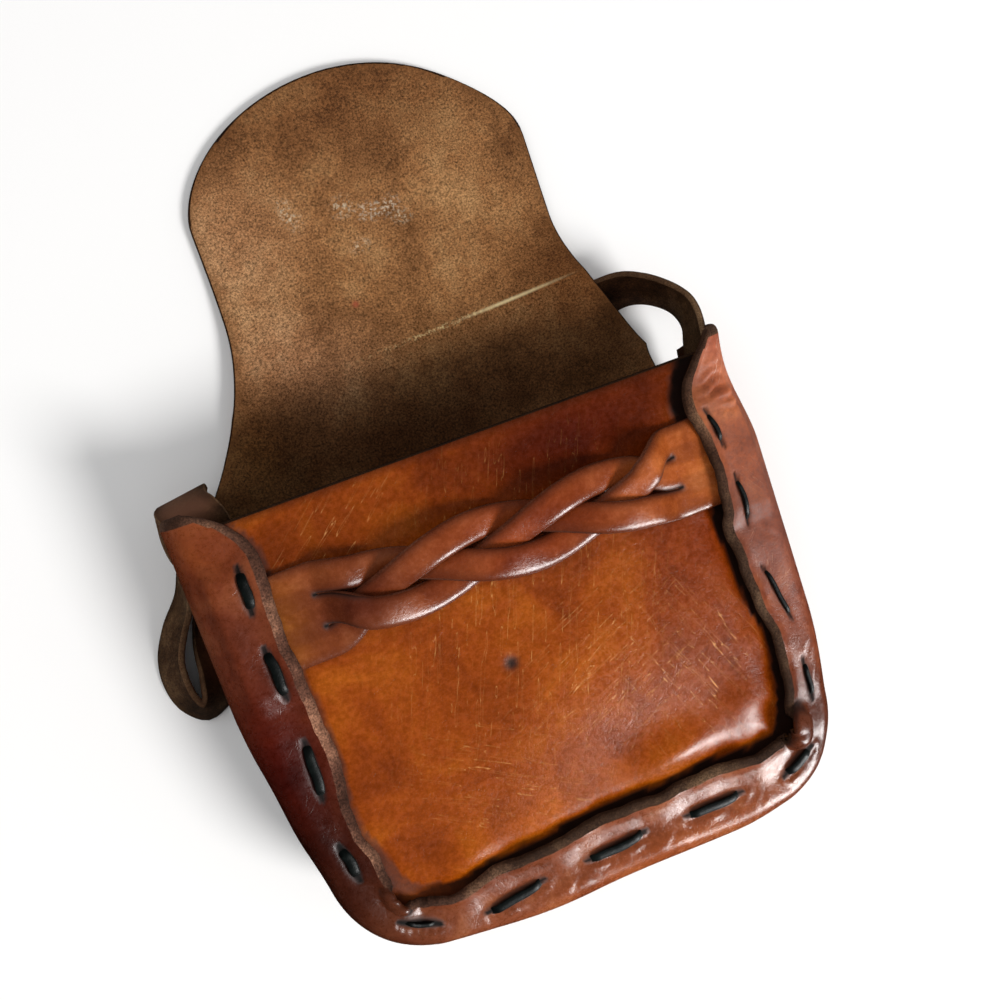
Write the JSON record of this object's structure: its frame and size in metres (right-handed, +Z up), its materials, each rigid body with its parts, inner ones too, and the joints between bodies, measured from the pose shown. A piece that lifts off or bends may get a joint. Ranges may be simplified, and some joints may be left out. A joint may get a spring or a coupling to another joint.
{
  "type": "leather shoulder bag",
  "caption": "Stiff leather shoulder bag lying on its back, its round flap thrown open behind it, with a laced gusset and a braided strip that the flap tucks behind.",
  "frame": {"origin": "on the floor, under the middle of the bag's bounding box", "axes": "+Z up, from the back panel to the front panel; +Y from the bag's bottom to its mouth and on to the flap's tip; +X to the right as seen from above the front panel"},
  "size_m": [0.2762, 0.3722, 0.0738],
  "materials": {
    "tan_leather": "smooth tan grain, polished by use",
    "back_leather": "rough brown flesh side up, smooth tan grain below",
    "gusset_leather": "smooth reddish brown grain, polished",
    "braid_leather": "smooth reddish brown grain, polished",
    "strap_leather": "rough worn flesh side and smooth grain side",
    "black_lace": "waxed black lace"
  },
  "bodies": {
    "root": {"front_panel": "tan_leather", "back_panel_flap": "back_leather", "gusset": "gusset_leather", "front_braid": "braid_leather", "shoulder_strap": "strap_leather", "lace_front_middle": "black_lace", "lace_front_left_1": "black_lace", "lace_front_left_2": "black_lace", "lace_front_left_3": "black_lace", "lace_front_left_4": "black_lace", "lace_front_left_5": "black_lace", "lace_front_left_6": "black_lace", "lace_front_right_1": "black_lace", "lace_front_right_2": "black_lace", "lace_front_right_3": "black_lace", "lace_front_right_4": "black_lace", "lace_front_right_5": "black_lace", "lace_front_right_6": "black_lace", "lace_back_middle": "black_lace", "lace_back_left_1": "black_lace", "lace_back_left_2": "black_lace", "lace_back_left_3": "black_lace", "lace_back_left_4": "black_lace", "lace_back_left_5": "black_lace", "lace_back_left_6": "black_lace", "lace_back_right_1": "black_lace", "lace_back_right_2": "black_lace", "lace_back_right_3": "black_lace", "lace_back_right_4": "black_lace", "lace_back_right_5": "black_lace", "lace_back_right_6": "black_lace"}
  },
  "joints": []
}
